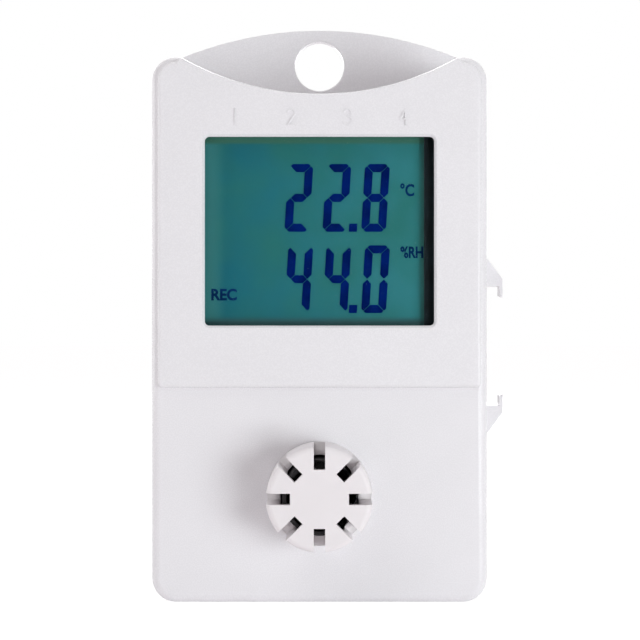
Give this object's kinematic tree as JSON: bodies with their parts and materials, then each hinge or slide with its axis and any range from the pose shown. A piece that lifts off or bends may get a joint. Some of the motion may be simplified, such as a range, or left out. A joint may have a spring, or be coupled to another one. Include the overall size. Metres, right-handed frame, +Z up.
{
  "type": "temperature data logger",
  "caption": "Upright white data logger with a raised segment display field, a slotted screw-off sensor cap, a domed hanging tab behind a scooped top edge and hooked side rails.",
  "frame": {"origin": "centre of the case's flat bottom face, midway between the display field's front and the back", "axes": "+Z up along the case's height, front faces -Y, +X towards the adapter rails"},
  "size_m": [0.0636, 0.0381, 0.1064],
  "materials": {
    "case_white": "fine satin moulding texture",
    "cap_white": "satin",
    "seal_rubber": "matte",
    "label_film": "matte film, bare",
    "screw_steel": "zinc plated",
    "insert_brass": "turned",
    "clear_pane": "clear, polished",
    "foam_black": "matte foam",
    "display_cell": "teal polarising film",
    "display_ink": "dark blue segments",
    "light_guide": "white",
    "frame_plastic": "satin",
    "contact_rubber": "matte",
    "board_green": "solder mask",
    "chip_black": "matte moulding",
    "can_steel": "nickel plated",
    "capacitor_tan": "ceramic",
    "reed_glass": "clear",
    "cell_can": "shrink sleeve on a metal can",
    "holder_plastic": "satin",
    "bead_glass": "gloss",
    "socket_black": "satin",
    "filter_dark": "fine gauze",
    "contact_gold": "gold plated"
  },
  "bodies": {
    "case": {"front_shell": "case_white", "screw_inserts": "insert_brass", "display_lens": "clear_pane", "display_gasket": "foam_black", "lcd_glass": "display_cell", "lcd_digits": "display_ink", "lcd_reflector": "light_guide", "lcd_frame": "frame_plastic", "contact_strips": "contact_rubber", "main_board": "board_green", "board_screws": "screw_steel", "microcontroller": "chip_black", "memory_chip": "chip_black", "clock_crystal": "can_steel", "capacitors": "capacitor_tan", "reed_switch": "reed_glass", "buzzer": "chip_black", "battery_cell": "cell_can", "battery_holder": "holder_plastic", "battery_contacts": "can_steel", "sensor_plug": "chip_black", "sensor_board": "board_green", "humidity_chip": "light_guide", "temperature_bead": "bead_glass", "sensor_socket": "socket_black", "cap_seal": "seal_rubber", "adapter_rails": "case_white", "port_contacts": "contact_gold", "port_socket": "socket_black"},
    "cover": {"rear_cover": "case_white", "case_seal": "seal_rubber", "back_label": "label_film", "cover_screws": "screw_steel"},
    "filter": {"filter_sleeve": "filter_dark"},
    "cap": {"sensor_cap": "cap_white"}
  },
  "joints": [
    {"name": "cover_lift", "type": "slide", "parent": "case", "child": "cover", "axis": [0, 1, 0], "range_m": [0, 0.03]},
    {"name": "cap_travel", "type": "slide", "parent": "case", "child": "filter", "axis": [0, -1, 0], "range_m": [0, 0.0045]},
    {"name": "cap_turn", "type": "hinge", "parent": "filter", "child": "cap", "pos_m": [0, -0.0184, 0.0196], "axis": [0, -1, 0], "range_deg": [0, 1080]}
  ],
  "couplings": [
    {"joint": "cap_travel", "follows": "cap_turn", "m_per_rad": 0.00023873}
  ]
}
